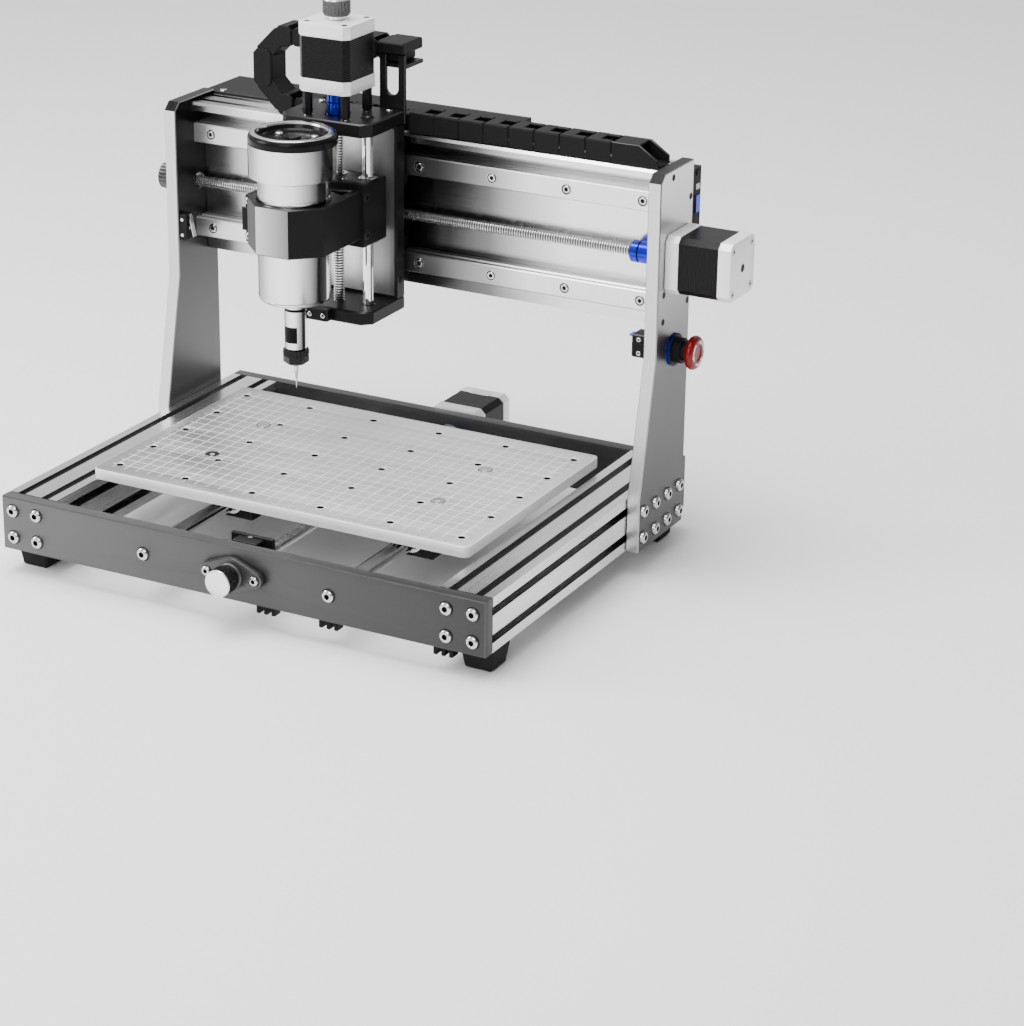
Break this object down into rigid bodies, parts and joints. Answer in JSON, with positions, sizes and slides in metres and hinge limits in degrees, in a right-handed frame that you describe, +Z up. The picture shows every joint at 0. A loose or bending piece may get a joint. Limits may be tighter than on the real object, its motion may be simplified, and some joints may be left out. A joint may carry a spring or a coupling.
{
  "type": "cnc router",
  "caption": "Desktop CNC router: slotted-profile base with a sliding grid bed, fixed gantry, and a carriage with a lifting chrome spindle, lead screws and cable chain.",
  "frame": {"origin": "middle of the machine's bounding box, on the floor under its feet", "axes": "+X to the operator's right along the gantry, +Y to the rear along the bed's travel, +Z up along the spindle"},
  "size_m": [0.4828, 0.3862, 0.3906],
  "materials": {
    "dark_anodised": "satin",
    "silver_anodised": "satin",
    "black_rubber": "matte",
    "bright_steel": "polished",
    "motor": "satin",
    "blue_anodised": "gloss",
    "black_metal": "satin black anodised",
    "brass": "satin",
    "chrome": "mirror",
    "black_plastic": "matte",
    "red_plastic": "gloss"
  },
  "bodies": {
    "base": {"front_plate": "dark_anodised", "rear_plate": "dark_anodised", "side_profile_left": "silver_anodised", "side_profile_right": "silver_anodised", "upright_left": "silver_anodised", "upright_right": "silver_anodised", "foot_front_left": "black_rubber", "foot_front_right": "black_rubber", "foot_rear_left": "black_rubber", "foot_rear_right": "black_rubber", "bed_rod_left": "bright_steel", "bed_rod_right": "bright_steel", "bed_bearing_flange": "dark_anodised", "bed_motor": "motor", "gantry_beam": "silver_anodised", "rail_upper": "bright_steel", "rail_lower": "bright_steel", "gantry_motor": "motor", "controller_box": "black_metal", "chain_fixed": "black_plastic", "stop_body": "black_plastic", "side_limit_switch": "black_plastic", "bed_limit_switch": "black_plastic"},
    "bed": {"bed": "silver_anodised", "bed_block_left": "black_metal", "bed_block_right": "black_metal", "bed_nut_block": "black_metal"},
    "bed_screw": {"bed_lead_screw": "bright_steel", "bed_coupling": "blue_anodised", "bed_knob": "bright_steel"},
    "gantry_screw": {"gantry_lead_screw": "bright_steel", "gantry_coupling": "blue_anodised", "gantry_knob": "bright_steel"},
    "carriage": {"rail_block_upper": "bright_steel", "rail_block_lower": "bright_steel", "lift_frame": "black_metal", "carriage_nut_block": "brass", "lift_shaft_left": "bright_steel", "lift_shaft_right": "bright_steel", "lift_motor": "motor", "standoff_front_left": "black_metal", "standoff_front_right": "black_metal", "standoff_rear_left": "black_metal", "standoff_rear_right": "black_metal", "chain_bracket": "black_metal", "chain_upper": "black_plastic", "lift_limit_switch": "black_plastic"},
    "chain_roll": {"chain_bend": "black_plastic"},
    "lift_screw": {"lift_lead_screw": "bright_steel", "lift_coupling": "blue_anodised", "lift_knob": "bright_steel"},
    "lift_slide": {"slide_block": "black_metal", "spindle_clamp": "dark_anodised", "spindle_body": "chrome"},
    "spindle": {"spindle_shaft": "chrome", "collet_nut": "black_metal", "cutting_bit": "bright_steel"},
    "stop_plunger": {"stop_plunger": "black_plastic"},
    "stop_head": {"stop_head": "red_plastic"},
    "limit_lever": {"side_limit_lever": "bright_steel"}
  },
  "joints": [
    {"name": "bed_slide", "type": "slide", "parent": "base", "child": "bed", "axis": [0, 1, 0], "range_m": [-0.1, 0.105]},
    {"name": "bed_screw_turn", "type": "hinge", "parent": "base", "child": "bed_screw", "pos_m": [-0.01415, -0.01415, 0.0385], "axis": [0, 1, 0], "continuous": true},
    {"name": "carriage_slide", "type": "slide", "parent": "base", "child": "carriage", "axis": [1, 0, 0], "range_m": [-0.1, 0.195]},
    {"name": "gantry_screw_turn", "type": "hinge", "parent": "base", "child": "gantry_screw", "pos_m": [-0.01415, 0.09185, 0.2256], "axis": [1, 0, 0], "continuous": true},
    {"name": "chain_roll_slide", "type": "slide", "parent": "carriage", "child": "chain_roll", "axis": [1, 0, 0], "range_m": [-0.0976, 0.0501]},
    {"name": "lift_slide", "type": "slide", "parent": "carriage", "child": "lift_slide", "axis": [0, 0, 1], "range_m": [-0.047, 0.032]},
    {"name": "lift_screw_turn", "type": "hinge", "parent": "carriage", "child": "lift_screw", "pos_m": [-0.05935, 0.04705, 0.1575], "axis": [0, 0, 1], "continuous": true},
    {"name": "spindle_turn", "type": "hinge", "parent": "lift_slide", "child": "spindle", "pos_m": [-0.05935, -0.01415, 0.16], "axis": [0, 0, 1], "continuous": true},
    {"name": "stop_push", "type": "slide", "parent": "base", "child": "stop_plunger", "axis": [-1, 0, 0], "range_m": [0, 0.004]},
    {"name": "stop_twist", "type": "hinge", "parent": "stop_plunger", "child": "stop_head", "pos_m": [0.20395, 0.09185, 0.1575], "axis": [1, 0, 0], "range_deg": [0, 30], "stiffness_Nm_per_rad": 0.03},
    {"name": "limit_lever_hinge", "type": "hinge", "parent": "base", "child": "limit_lever", "pos_m": [-0.20255, 0.06785, 0.2054], "axis": [0, 1, 0], "range_deg": [0, 8], "stiffness_Nm_per_rad": 0.01}
  ],
  "couplings": [
    {"joint": "bed_screw_turn", "follows": "bed_slide", "rad_per_m": 785.4},
    {"joint": "gantry_screw_turn", "follows": "carriage_slide", "rad_per_m": 785.4},
    {"joint": "chain_roll_slide", "follows": "carriage_slide", "ratio": -0.5},
    {"joint": "lift_screw_turn", "follows": "lift_slide", "rad_per_m": 785.4}
  ]
}
